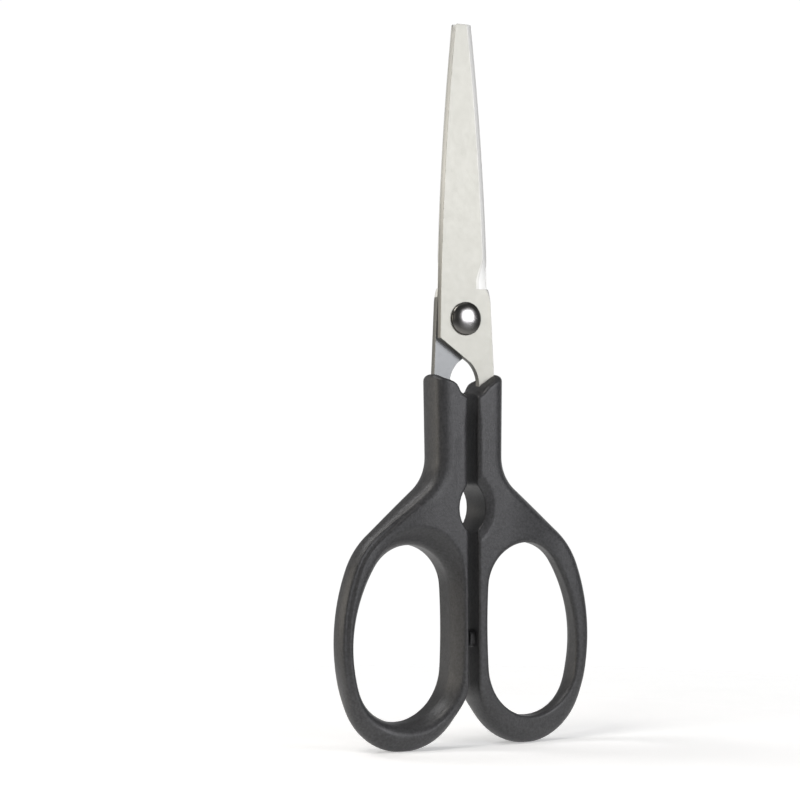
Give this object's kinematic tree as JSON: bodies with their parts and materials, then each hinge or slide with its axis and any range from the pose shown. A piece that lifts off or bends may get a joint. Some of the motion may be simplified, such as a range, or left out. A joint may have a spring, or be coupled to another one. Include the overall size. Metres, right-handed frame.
{
  "type": "office scissors",
  "caption": "Right-handed office scissors with straight tapering blades, a domed rivet, equal finger loops and a small gripping notch between the handles.",
  "frame": {"origin": "centre of the base of the bounding box: the flats under the two finger loops lie on Z = 0", "axes": "+Z from the loops up to the blade tips, -Y towards the viewer and the rivet's domed head, +X to the right handle, which carries the front blade"},
  "size_m": [0.0624, 0.0096, 0.159],
  "materials": {
    "blade_steel": "satin ground stainless steel with bright bevels",
    "handle_plastic": "satin black moulded plastic with a fine texture",
    "rivet_metal": "polished"
  },
  "bodies": {
    "left_half": {"left_handle": "handle_plastic", "rear_blade": "blade_steel"},
    "right_half": {"right_handle": "handle_plastic", "front_blade": "blade_steel", "pivot_rivet": "rivet_metal", "rivet_washer": "rivet_metal"}
  },
  "joints": [
    {"name": "pivot", "type": "hinge", "parent": "left_half", "child": "right_half", "pos_m": [0, 0, 0.094], "axis": [0, -1, 0], "range_deg": [0, 120]}
  ]
}
